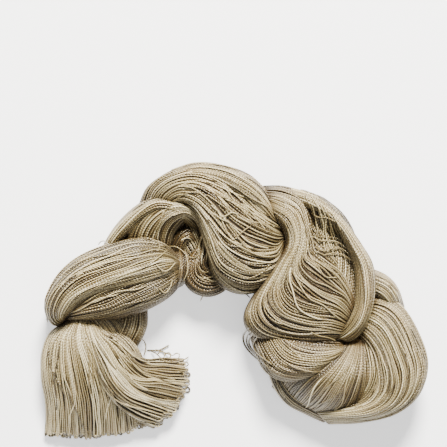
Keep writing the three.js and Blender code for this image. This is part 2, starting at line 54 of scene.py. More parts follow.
# Each lobe: a row for each section across the yarn, in the order it runs.
# x1, y1, x2, y2 of the two edges, height of crown and of underside, forward bow.
LOBES = {
    "fan": [
        (   -80,  -3.75,    -67,  -3.25,     20,      6,      0),
        (   -83,  -9.75,    -67,  -9.75,     28,      1,      0),
        ( -91.5, -15.75,  -59.5, -13.25,     33,     -2,    3.5),
        ( -95.5, -25.75,    -51, -19.25,     33,     -3,    5.5),
        (   -96, -37.75,  -45.5, -27.75,     30,     -3,    6.5),
        ( -94.5, -49.25,    -43, -39.75,     24,     -3,      6),
        ( -94.5, -58.75,  -41.5, -51.75,     17,     -2,      5),
        (   -95, -65.25,    -41, -59.75,     12,     -1,      4),
    ],
    "fan_right": [
        (   -74, -10.25,    -67,  -9.25,     27,     12,      0),
        ( -72.5, -17.75,    -63, -14.25,     34,     16,    0.5),
        ( -70.5, -29.25,  -56.5, -17.25,     36,     14,    1.5),
        ( -66.5, -41.75,    -49, -24.75,     34,      9,    2.5),
        ( -60.5, -51.75,  -42.5, -28.75,     29,      5,    3.5),
        ( -51.5, -59.25,    -34, -28.75,     22,      1,      5),
        (   -43, -63.75,  -25.5, -29.75,     14,     -1,      7),
    ],
    "neck": [
        (   -64,   2.75,    -41,   5.75,     16,      2,      0),
        (   -63,  -7.25,  -42.5,  -3.75,     19,     -2,      0),
        (   -67, -16.25,    -43, -13.25,     20,     -2,      0),
        (   -75, -25.25,  -47.5, -22.75,     16,     -2,      0),
        (   -81, -34.25,    -55, -32.25,     10,      0,      0),
    ],
    "leaf_upper": [
        (   -82, -10.25,    -83,  -6.25,     18,      6,      0),
        ( -88.5, -12.75,    -81,  -6.25,     28,      3,      0),
        (   -93,  -7.75,    -79,  -5.75,     36,      0,      0),
        (   -94,  -1.25,    -75,  -2.25,     41,      0,      0),
        (   -91,   7.25,    -70,   1.25,     44,      0,      0),
        (   -85,  15.75,  -62.5,   3.25,     45,      0,      0),
        (   -76,  22.75,    -53,   4.75,     46,      0,      0),
        (   -63,  28.25,  -42.5,   7.25,     46,      0,      0),
        ( -48.5,  31.75,    -33,  10.25,     44,      2,      0),
        (   -36,  30.25,  -27.5,  13.25,     39,      4,      0),
        (   -27,  23.25,  -25.5,  16.25,     29,      8,      0),
    ],
    "leaf_lower": [
        (   -85,  -4.75,    -85,  -9.75,     18,      8,      0),
        (   -81,  -0.25,  -79.5,  -9.75,     31,      2,      0),
        (   -76,   5.75,  -70.5,  -9.75,     37,      0,      0),
        (   -69,  11.25,    -60,  -8.75,     40,     -2,      0),
        (   -61,  16.25,  -50.5,  -6.25,     41,     -2,      0),
        ( -50.5,  20.75,    -40,  -2.25,     40,     -2,      0),
        ( -38.5,  23.75,  -31.5,   2.75,     37,     -1,      0),
        ( -29.5,  23.25,  -26.5,   8.25,     32,      1,      0),
        (   -25,  18.75,  -24.5,  12.75,     24,      6,      0),
    ],
    "arch_outer": [
        (   -68,  19.75,    -60,  19.75,     22,      2,      0),
        ( -63.5,  29.75,    -55,  29.75,     29,      0,      0),
        (   -57,  39.25,    -50,  34.75,     34,     -2,      0),
        (   -48,  47.75,    -43,  40.25,     37,     -2,      0),
        (   -38,  52.75,  -36.5,  43.75,     40,     -1,      0),
        (   -28,  51.25,  -30.5,  43.25,     40,      2,      0),
        ( -19.5,  46.75,    -25,  40.25,     36,      6,      0),
        (   -13,  38.75,  -18.5,  35.25,     27,      8,      0),
    ],
    "arch_inner": [
        (   -57,  20.75,  -29.5,  18.75,     18,      0,      0),
        (   -57,  30.75,    -29,  27.75,     28,     -2,      0),
        (   -52,  39.75,  -27.5,  34.25,     35,     -2,    1.5),
        ( -42.5,  47.75,    -25,  38.25,     39,      0,      2),
        ( -30.5,  50.75,    -22,  40.75,     40,      2,    1.5),
        (   -21,  47.75,    -19,  40.25,     38,      4,    0.5),
        (   -14,  41.25,    -17,  36.75,     34,      2,      0),
        (   -11,  32.75,    -16,  31.75,     29,      0,      0),
        (   -12,  23.75,  -17.5,  25.75,     22,      0,      0),
    ],
    "hollow": [
        ( -33.5,  19.75,    -25,  17.75,     14,     -2,      0),
        ( -31.5,  27.75,    -24,  22.75,     23,     -2,      0),
        (   -28,  34.25,  -22.5,  27.25,     28,     -2,      0),
        (   -22,  37.75,    -21,  29.25,     29,     -2,      0),
        ( -16.5,  33.75,  -19.5,  27.75,     26,     -2,      0),
        (   -14,  25.75,    -19,  24.75,     21,     -2,      0),
        (   -15,  18.75,  -19.5,  20.75,     15,     -1,      0),
    ],
    "wrap": [
        (   -30,  27.75,    -24,  29.75,     18,      4,      0),
        ( -29.5,  22.25,  -21.5,  23.25,     29,      2,      0),
        (   -29,  16.25,    -21,  16.75,     31,      0,      0),
        ( -29.5,  10.25,    -22,  11.25,     28,     -1,      0),
        (   -31,   5.25,    -25,   7.75,     18,      0,      0),
    ],
    "pouch": [
        ( -14.5,  36.75,    -11,  35.25,     24,     14,      0),
        ( -17.5,  29.25,  -10.5,  27.75,     28,      6,      0),
        (   -22,  22.25,  -10.5,  23.75,     29,      1,      0),
        (   -25,  15.75,  -10.5,  22.25,     29,     -1,      0),
        (   -24,   9.25,  -10.5,  21.25,     28,     -2,      0),
        ( -19.5,   4.25,    -10,  20.75,     27,     -2,      0),
        (   -12,   2.25,   -9.5,  20.75,     26,     -2,      0),
        (  -4.5,   4.75,     -9,  21.25,     25,     -1,      0),
        (    -1,   9.75,     -9,  22.75,     23,      0,      0),
        (    -3,  18.75,   -9.5,  26.75,     19,      4,      0),
    ],
    "ball": [
        (   -47,  47.75,    -23,  43.75,     28,      8,      0),
        (   -42,  57.75,    -22,  44.75,     38,      2,      1),
        (   -31,  65.25,    -20,  43.75,     44,      0,      1),
        (   -18,  69.25,  -16.5,  38.25,     47,     -2,      0),
        (  -5.5,  68.25,    -13,  26.25,     49,     -3,      0),
        (   6.5,  63.75,   -7.5,  11.25,     49,     -3,      0),
        (    15,  57.25,    5.5,   4.25,     47,     -2,      0),
        (  21.5,  47.75,   20.5,   9.25,     42,     -1,      0),
        (  25.5,  37.75,   25.5,  24.75,     34,      3,      0),
        (  28.5,  33.25,   28.5,  30.25,     25,     12,      0),
    ],
    "crown": [
        (   -30,  65.75,    -26,  59.75,     36,     16,      0),
        (   -18,  69.25,    -16,  58.75,     43,     10,      0),
        (  -5.5,  68.25,     -8,  56.25,     46,      8,      0),
        (   6.5,  63.75,      1,  51.25,     47,      8,      0),
        (  15.5,  56.75,    9.5,  45.25,     46,      8,      0),
        (    21,  47.25,   16.5,  40.25,     42,     10,      0),
        (  24.5,  37.75,   22.5,  36.75,     33,     16,      0),
    ],
    "drape": [
        (    15,  57.75,     13,  44.25,     30,      8,      0),
        (  25.5,  57.25,     18,  41.25,     43,      3,      0),
        (    35,  53.75,   23.5,  35.75,     48,      0,      0),
        (    39,  45.75,     26,  29.25,     49,     -1,      0),
        (    41,  39.25,   24.5,  23.25,     49,     -2,      0),
        (  44.5,  36.25,     17,  12.75,     49,     -2,      0),
        (  50.5,  33.75,      6,  -6.25,     48,     -2,      0),
        (  56.5,  30.75,     11, -17.75,     47,     -3,      0),
        (    60,  25.25,     27, -22.25,     44,     -3,      0),
        (  61.5,  16.25,     42, -21.75,     41,     -1,      0),
        (    63,   5.25,   51.5, -20.25,     36,      3,      0),
    ],
    "mesh": [
        (    34,  55.75,     46,  51.25,     38,     10,      0),
        (    36,  47.75,   53.5,  45.25,     45,      4,      0),
        (    37,  39.75,   59.5,  36.75,     43,      0,      0),
        (  39.5,  33.75,     62,  30.25,     35,      0,      0),
        (    43,  28.25,     63,  24.25,     22,      0,      0),
    ],
    "strap": [
        (    29,  56.75,     30,  48.75,     38,     18,      0),
        (    40,  53.25,     36,  46.25,     46,     16,      0),
        (    48,  47.75,   43.5,  43.25,     48,     14,      0),
        (    56,  39.25,     51,  35.75,     49,     12,      0),
        (  63.5,  28.75,   56.5,  25.75,     49,     10,      0),
        (    69,  19.25,   59.5,  17.75,     50,      8,      0),
        (  70.5,   8.25,   60.5,   7.75,     50,      6,      0),
        (  69.5,  -2.25,     60,  -1.25,     48,      6,      0),
        (    66, -12.75,     57,  -8.25,     44,      6,      0),
        (    59, -19.75,   53.5, -13.25,     36,      8,      0),
        (    53, -19.25,     51, -17.25,     27,     12,      0),
    ],
    "roll": [
        (   8.5, -14.25,     26,  -7.25,     24,      2,      0),
        (    12, -25.75,     30, -13.25,     36,     -1,      0),
        (  17.5, -35.75,     35, -15.25,     41,     -2,      2),
        (  28.5, -39.75,   41.5, -16.75,     42,     -2,      2),
        (    40, -37.75,     48, -17.75,     41,      0,      1),
        (  50.5, -31.25,     54, -18.75,     36,      2,      0),
        (    58, -22.75,   58.5, -19.25,     26,     10,      0),
    ],
    "tail_under": [
        (  17.5, -26.75,     34, -19.25,     18,      2,      0),
        (  18.5, -35.25,     38, -28.25,     25,     -2,      0),
        (  21.5, -43.75,     41, -34.25,     26,     -2,      0),
        (  27.5, -51.75,     47, -39.25,     25,     -2,      0),
        (    37, -57.25,     54, -43.25,     22,     -2,      0),
        (    46, -61.75,     58, -48.25,     16,      0,      0),
    ],
    "tail_left": [
        (    57, -17.25,     66, -15.25,     26,      8,      0),
        (  50.5, -22.25,   69.5, -21.25,     36,      2,    1.5),
        (    40, -28.25,   72.5, -28.25,     41,      0,    3.5),
        (    29, -32.25,     75, -37.25,     39,     -1,    6.5),
        (    22, -36.25,   74.5, -46.25,     30,     -1,    9.5),
        (    20, -43.25,     67, -53.25,     17,      0,    7.5),
    ],
    "tail_right": [
        (    61, -18.25,     66,   0.75,     28,      6,      0),
        (    63, -19.75,     73,   3.75,     38,      1,     -1),
        (    66, -25.25,     84,  -1.25,     43,     -2,     -1),
        (  67.5, -32.25,   92.5, -14.75,     45,     -3,      0),
        (  67.5, -40.75,     97, -30.25,     45,     -3,      1),
        (    64, -47.25,   93.5, -45.25,     42,     -3,    1.5),
        (  57.5, -50.75,     82, -55.75,     37,     -2,      1),
        (  49.5, -52.75,     65, -60.75,     30,     -1,      0),
        (    41, -53.75,     49, -62.25,     20,      2,      0),
    ],
    "shoulder": [
        (    62,  18.75,     63,   5.75,     26,      4,      0),
        (  69.5,  16.25,   69.5,   1.75,     32,      0,      0),
        (    77,  13.25,     74,  -1.25,     34,     -2,      0),
        (    83,   7.25,     77,  -5.75,     31,     -2,      0),
        (    87,  -2.25,     80, -10.25,     20,      0,      0),
    ],
    "leaf_fill": [
        (   -86,  -1.25,    -82,  -7.25,     18,      4,      0),
        (   -81,   9.75,    -72,  -6.25,     31,      0,      0),
        (   -67,  20.75,    -58,  -4.25,     37,     -2,      0),
        (   -49,  25.75,    -43,  -0.25,     37,     -2,      0),
        (   -31,  24.75,    -29,   6.75,     30,      0,      0),
    ],
    "tail_fill": [
        (    59, -19.25,     73,  -6.25,     26,      6,      0),
        (    58, -28.25,     81, -19.25,     36,      0,      0),
        (    57, -37.25,     84, -35.25,     37,     -2,      0),
        (    53, -46.25,     78, -48.25,     31,     -2,      0),
        (    45, -52.25,     60, -56.25,     20,      0,      0),
    ],
    "right_fill": [
        (    23,  50.75,     46,  47.25,     30,      2,      0),
        (    26,  36.75,     59,  32.75,     39,     -2,      0),
        (    20,  20.75,     67,  19.75,     41,     -3,      0),
        (    13,   3.75,   67.5,   4.75,     41,     -3,      0),
        (    13, -11.25,   65.5,  -8.25,     37,     -3,      0),
        (    24, -21.25,     60, -17.25,     26,      0,      0),
    ],
    "pouch_fill": [
        (   -34,  34.75,    -12,  51.75,     20,      2,      0),
        ( -29.5,  27.75,     -8,  42.75,     26,     -2,      0),
        ( -24.5,  20.75,     -5,  31.75,     26,     -2,      0),
        ( -20.5,  13.25,     -2,  18.75,     23,     -2,      0),
        (   -15,   6.75,      0,  10.75,     19,      0,      0),
    ],
    "knot_fill": [
        (   -81,   1.75,    -57,   3.75,     22,      2,      0),
        (   -81,  -7.25,    -59,  -5.25,     26,     -2,      0),
        (   -78, -15.25,    -53, -12.25,     26,     -2,      0),
        (   -73, -23.25,    -51, -20.25,     18,      0,      0),
    ],
}

# How the yarn lies in each lobe: the piece it goes to, the spread of strands
# (mm), how far the strands drift in bunches and each on its own, how rough the
# layer is in height, how high its ridges are, and how many strands stray.
LIE = {
    "fan":         ("yarn_fan",   1.02, 0.9, 0.34, 0.40, 0.60, 14),
    "fan_right":   ("yarn_over",  1.30, 2.0, 0.34, 0.55, 1.3, 16),
    "neck":        ("yarn_fan",   1.13, 1.0, 0.26, 0.30, 0.7, 2),
    "leaf_upper":  ("yarn_leaf",  1.05, 1.4, 0.30, 0.40, 1.1, 14),
    "leaf_lower":  ("yarn_leaf",  1.13, 1.4, 0.30, 0.42, 1.2, 14),
    "arch_outer":  ("yarn_arch",  1.11, 1.0, 0.26, 0.36, 0.8, 4),
    "arch_inner":  ("yarn_arch",  1.18, 1.6, 0.30, 0.44, 1.1, 8),
    "hollow":      ("yarn_arch",  1.23, 1.6, 0.32, 0.44, 0.9, 6),
    "wrap":        ("yarn_arch",  1.18, 1.0, 0.30, 0.40, 0.6, 4),
    "pouch":       ("yarn_arch",  1.25, 1.9, 0.36, 0.52, 1.1, 6),
    "ball":        ("yarn_ball",  1.33, 2.6, 0.44, 0.75, 1.9, 34),
    "crown":       ("yarn_ball",  1.03, 1.3, 0.30, 0.36, 0.9, 8),
    "drape":       ("yarn_drape", 1.20, 2.2, 0.38, 0.66, 1.6, 14),
    "mesh":        ("yarn_drape", 1.60, 3.0, 0.70, 0.90, 1.0, 4),
    "strap":       ("yarn_drape", 1.01, 1.0, 0.26, 0.36, 0.7, 6),
    "roll":        ("yarn_belly", 1.18, 1.6, 0.30, 0.46, 1.1, 8),
    "tail_under":  ("yarn_tail",  1.13, 1.2, 0.28, 0.38, 0.8, 4),
    "tail_left":   ("yarn_tail",  1.02, 0.7, 0.28, 0.30, 0.5, 12),
    "tail_right":  ("yarn_tail",  1.12, 1.4, 0.32, 0.44, 1.0, 14),
    "shoulder":    ("yarn_tail",  1.13, 1.2, 0.28, 0.38, 0.8, 4),
    "leaf_fill":   ("yarn_leaf",  1.13, 1.0, 0.28, 0.36, 0.6, 0),
    "tail_fill":   ("yarn_tail",  1.13, 1.0, 0.28, 0.36, 0.6, 0),
    "right_fill":  ("yarn_belly", 1.13, 1.0, 0.28, 0.36, 0.6, 0),
    "pouch_fill":  ("yarn_arch",  1.13, 1.0, 0.28, 0.36, 0.6, 0),
    "knot_fill":   ("yarn_fan",   1.13, 1.0, 0.28, 0.36, 0.6, 0),
}
# painted shade for lobes that lie in the shadow of their neighbours, and how deep (below zero: painted lighter)
NEIGHBOUR_SHADE = {"pouch": 0.58, "hollow": 0.66, "arch_inner": 0.02, "drape": 0.24, "wrap": 0.60, "strap": -0.14,
         "leaf_lower": 0.32, "tail_left": 0.30, "neck": 0.20, "roll": 0.30, "ball": 0.10, "tail_under": 0.2}
FINER = {"fan": 0.90, "tail_right": 0.95, "crown": 0.90, "leaf_upper": 0.93, "tail_left": 0.90, "strap": 0.92}
FAN_ENDS = ("fan", "fan_right")   # lobes that end in open loops of yarn

rng = np.random.default_rng(20611)


# ---------------------------------------------------------------- noise
def lattice(ix, iy, seed):
    h = (ix * 374761393 + iy * 668265263 + seed * 974634777) & 0xFFFFFFFF
    h = ((h ^ (h >> 13)) * 1274126177) & 0xFFFFFFFF
    h = h ^ (h >> 16)
    return (h & 0xFFFFFF) / float(0xFFFFFF) * 2 - 1


def noise2(x, y, seed):
    """Smooth noise in -1..1 over a plane."""
    x = np.asarray(x, float)
    y = np.asarray(y, float)
    xi = np.floor(x).astype(np.int64)
    yi = np.floor(y).astype(np.int64)
    fx = x - xi
    fy = y - yi
    fx = fx * fx * (3 - 2 * fx)
    fy = fy * fy * (3 - 2 * fy)
    a = lattice(xi, yi, seed)
    b = lattice(xi + 1, yi, seed)
    c = lattice(xi, yi + 1, seed)
    d = lattice(xi + 1, yi + 1, seed)
    return (a * (1 - fx) + b * fx) * (1 - fy) + (c * (1 - fx) + d * fx) * fy


# ---------------------------------------------------------------- lobes
def power(v):
    return np.sign(v) * np.abs(v) ** (2 / SECTION_POWER)


class Lobe:
    def __init__(self, name, rows):
        self.name = name
        self.rows = np.array(rows, float)
        self.rows[:, [0, 2]] += SHIFT[0]
        self.rows[:, [1, 3]] += SHIFT[1]
        self.last = len(rows) - 1
        r = self.rows
        self.ext = np.vstack([2 * r[0] - r[1], r, 2 * r[-1] - r[-2]])
        # distance along the middle line, to turn a length into a row number
        s = np.linspace(0, self.last, 400)
        c = self.columns(s)
        mid = np.stack([(c[:, 0] + c[:, 2]) / 2, (c[:, 1] + c[:, 3]) / 2,
                        (c[:, 4] + c[:, 5]) / 2], 1)
        step = np.linalg.norm(np.diff(mid, axis=0), axis=1)
        # the outer edge may be much longer than the middle line
        for e in ((0, 1), (2, 3)):
            edge = np.linalg.norm(np.diff(c[:, e], axis=0), axis=1)
            step = np.maximum(step, edge * 0.8)
        self.s_of = s
        self.length_of = np.concatenate([[0], np.cumsum(step)])
        self.length = self.length_of[-1]
        # size of each section, and the widest one
        w = np.hypot(c[:, 2] - c[:, 0], c[:, 3] - c[:, 1]) / 2
        h = (c[:, 4] - c[:, 5]) / 2
        self.perimeter_of = math.pi * (3 * (w + h) - np.sqrt((3 * w + h) * (w + 3 * h)))
        k = int(np.argmax(self.perimeter_of))
        self.perimeter = self.perimeter_of[k]
        angle = np.linspace(0, 2 * math.pi, 721)
        ring = np.stack([w[k] * power(np.cos(angle)), h[k] * power(np.sin(angle))], 1)
        walk = np.concatenate([[0], np.cumsum(np.linalg.norm(np.diff(ring, axis=0), axis=1))])
        self.walk = walk / walk[-1]
        self.walk_angle = angle

    def columns(self, s):
        s = np.clip(np.asarray(s, float), 0, self.last)
        i = np.minimum(np.floor(s).astype(int), self.last - 1)
        t = (s - i)[..., None]
        p0, p1, p2, p3 = self.ext[i], self.ext[i + 1], self.ext[i + 2], self.ext[i + 3]
        m1 = (p2 - p0) / 2
        m2 = (p3 - p1) / 2
        t2, t3 = t * t, t * t * t
        return ((2 * t3 - 3 * t2 + 1) * p1 + (t3 - 2 * t2 + t) * m1
                + (-2 * t3 + 3 * t2) * p2 + (t3 - t2) * m2)

    def s_at(self, length):
        return np.interp(length, self.length_of, self.s_of)

    def squeeze(self, s):
        return np.interp(s, self.s_of, self.perimeter_of) / self.perimeter

    def angle_at(self, q):
        q = np.asarray(q, float)
        return np.interp(q % 1.0, self.walk, self.walk_angle)

    def point(self, s, angle, out=0.0, scale=1.0):
        """Points (..., 3) on the lobe and outward normals, in mm."""
        s = np.asarray(s, float)
        angle = np.asarray(angle, float)
        s, angle = np.broadcast_arrays(s, angle)
        c = self.columns(s)
        a = self.columns(np.minimum(s + 0.05, self.last))
        b = self.columns(np.maximum(s - 0.05, 0))
        run = (a[..., 0:2] + a[..., 2:4] - b[..., 0:2] - b[..., 2:4])
        w2 = (c[..., 2:4] - c[..., 0:2]) / 2
        w = np.linalg.norm(w2, axis=-1) + 1e-9
        side = w2 / w[..., None]
        fwd = np.stack([-side[..., 1], side[..., 0]], -1)
        sign = np.sign((fwd * run).sum(-1))
        sign[sign == 0] = 1
        fwd = fwd * sign[..., None]
        h = np.maximum((c[..., 4] - c[..., 5]) / 2, 0.2)
        u = power(np.cos(angle)) * scale
        v = power(np.sin(angle)) * scale
        mid = (c[..., 0:2] + c[..., 2:4]) / 2
        xy = mid + w2 * u[..., None] + fwd * (c[..., 6] * (1 - u * u))[..., None]
        z = (c[..., 4] + c[..., 5]) / 2 + h * v
        e = SECTION_POWER - 1
        nu = np.sign(u) * np.abs(u) ** e / w
        nv = np.sign(v) * np.abs(v) ** e / h
        nl = np.sqrt(nu * nu + nv * nv) + 1e-12
        normal = np.concatenate([side * (nu / nl)[..., None], (nv / nl)[..., None]], -1)
        p = np.concatenate([xy, z[..., None]], -1) + normal * np.asarray(out)[..., None]
        return p, normal


lobes = {name: Lobe(name, rows) for name, rows in LOBES.items()}

# ---------------------------------------------------------------- height maps
CELL = 0.5
X0, Y0, NX, NY = -110.0, -85.0, 440, 340


def cell_of(p):
    i = np.clip(((p[..., 0] - X0) / CELL).astype(int), 0, NX - 1)
    j = np.clip(((p[..., 1] - Y0) / CELL).astype(int), 0, NY - 1)
    return j, i


def spread(a, fn, times=1):
    """Grey dilation (fn = maximum) or erosion (fn = minimum), 3 by 3."""
    for _ in range(times):
        b = a.copy()
        b[1:] = fn(b[1:], a[:-1]); b[:-1] = fn(b[:-1], a[1:])
        c = b.copy()
        c[:, 1:] = fn(c[:, 1:], b[:, :-1]); c[:, :-1] = fn(c[:, :-1], b[:, 1:])
        a = c
    return a


FAR = 1e3
high, low = {}, {}
for name, lobe in lobes.items():
    s = np.linspace(0, lobe.last, 420)[:, None]
    t = np.linspace(0, 2 * math.pi, 420, endpoint=False)[None]
    p, _ = lobe.point(s, t)
    j, i = cell_of(p)
    hi = np.full((NY, NX), -FAR)
    lo = np.full((NY, NX), FAR)
    np.maximum.at(hi, (j, i), p[..., 2])
    np.minimum.at(lo, (j, i), p[..., 2])
    hi = spread(spread(hi, np.maximum), np.minimum)
    lo = spread(spread(lo, np.minimum), np.maximum)
    high[name], low[name] = hi, lo
skyline = np.maximum.reduce(list(high.values()))
skyline = np.where(skyline < 0, 0.0, skyline)
# shade: how much higher the hank stands round a point than the point itself
offsets = [(dy, dx, math.hypot(dy, dx)) for dy in range(-14, 15, 2)
           for dx in range(-14, 15, 2) if 0 < math.hypot(dy, dx) <= 14]
eroded_high = {n: spread(a, np.minimum, 3) for n, a in high.items()}
eroded_low = {n: spread(a, np.maximum, 3) for n, a in low.items()}


def hidden(p, own, depth=1.0):
    """True where a point lies well inside another lobe."""
    j, i = cell_of(p)
    z = p[..., 2]
    out = np.zeros(z.shape, bool)
    for name in lobes:
        if name == own:
            continue
        out |= (z < eroded_high[name][j, i] - depth) & (z > np.maximum(eroded_low[name][j, i] + depth, -FAR))
    return out


def shade_at(p):
    """0 in the open, towards 1 down in a crease."""
    j, i = cell_of(p)
    z = p[..., 2]
    total = np.zeros(z.shape)
    weight = 0.0
    for dy, dx, d in offsets:
        jj = np.clip(j + dy, 0, NY - 1)
        ii = np.clip(i + dx, 0, NX - 1)
        rise = np.maximum(skyline[jj, ii] - z, 0) / (d * CELL)
        total += np.minimum(rise, 2.5) / 2.5
        weight += 1
    return total / weight


# ---------------------------------------------------------------- strands
class Bag:
    """Strands of one piece, kept as rings until the mesh is made."""

    def __init__(self):
        self.runs = []   # (points, normals, radius, tone, painted shade it gets, sides)

    def add(self, p, n, radius, tone, added_shade=0.0, sides=5):
        if len(p) >= 2:
            self.runs.append((p, n, radius, tone, added_shade, sides))


bags = {piece: Bag() for piece in
        ("yarn_fan", "yarn_over", "yarn_leaf", "yarn_arch", "yarn_ball", "yarn_drape",
         "yarn_belly", "yarn_tail", "yarn_loose")}
STEP = 1.7


def cut_hidden(bag, p, n, r, tone, own, depth, added_shade=0.0, sides=5):
    """Keeps the stretches of a strand that can be seen."""
    seen = ~hidden(p, own, depth)
    if added_shade:
        seen &= p[:, 2] > 1.7     # one layer is enough on the floor
    keep = seen.copy()
    keep[1:] |= seen[:-1]
    keep[:-1] |= seen[1:]
    idx = np.flatnonzero(keep)
    if len(idx) < 2:
        return
    for part in np.split(idx, np.flatnonzero(np.diff(idx) > 1) + 1):
        if len(part) >= 3:
            bag.add(p[part], n[part], r[part], tone, added_shade, sides)


def lay_strands(lobe, seed, q, level, own_noise, bunch, rough, ridge, spread_mm):
    """Path of strands q (share of the way round) at a depth level; arrays (strand, step)."""
    count = max(int(lobe.length / STEP), 6)
    length = np.linspace(0, lobe.length, count)
    s = lobe.s_at(length)[None]
    q = np.asarray(q)[:, None]
    round_mm = q * lobe.perimeter
    # bunches: a smooth drift that squeezes and parts the strands without crossing
    # them, wrapped so that it meets itself round the lobe
    drift = (bunch * noise2(round_mm / 6.0 + 3.1, length[None] / 26.0, seed)
             + 0.55 * bunch * noise2(round_mm / 2.6 + 9.7, length[None] / 17.0, seed + 1))
    own = own_noise * noise2(q * 9973.0, length[None] / 9.0, seed + 2)
    fade = np.minimum(lobe.squeeze(s), 1.0)
    qq = q + (drift * 0.8 + own) * spread_mm / lobe.perimeter
    angle = lobe.angle_at(qq)
    height = rough * (0.6 * noise2(round_mm / 3.2, length[None] / 14.0, seed + 3)
                      + 0.7 * noise2(q * 7919.0, length[None] / 21.0, seed + 4)) * fade
    height = height + ridge * 0.8 * noise2(round_mm / 7.0, length[None] / 45.0, seed + 6) * fade
    # where the lobe narrows, every second strand and then every fourth sinks
    order = np.arange(len(q))[:, None]
    tight = 1 - np.broadcast_to(fade, height.shape)
    height = height - 0.8 * (order % 2) * np.clip(tight / 0.45, 0, 1)
    height = height - 0.8 * (order % 4 == 2) * np.clip((tight - 0.5) / 0.25, 0, 1)
    p, n = lobe.point(s, angle, level + height)
    return p, n, fade


def radius_of(fade, base):
    return base * np.clip(0.62 + 0.5 * fade, 0.62, 1.0)


def smooth_path(points, step=STEP):
    """Catmull-Rom through the points, walked at an even step."""
    pts = np.asarray(points, float)
    ext = np.vstack([2 * pts[0] - pts[1], pts, 2 * pts[-1] - pts[-2]])
    out = []
    for k in range(len(pts) - 1):
        t = np.linspace(0, 1, 24, endpoint=False)[:, None]
        p0, p1, p2, p3 = ext[k:k + 4]
        out.append(0.5 * (2 * p1 + (p2 - p0) * t + (2 * p0 - 5 * p1 + 4 * p2 - p3) * t ** 2
                          + (3 * p1 - p0 - 3 * p2 + p3) * t ** 3))
    out.append(pts[-1:])
    fine = np.vstack(out)
    walk = np.concatenate([[0], np.cumsum(np.linalg.norm(np.diff(fine, axis=0), axis=1))])
    count = max(int(walk[-1] / step), 3)
    at = np.linspace(0, walk[-1], count)
    return np.stack([np.interp(at, walk, fine[:, k]) for k in range(fine.shape[1])], 1)


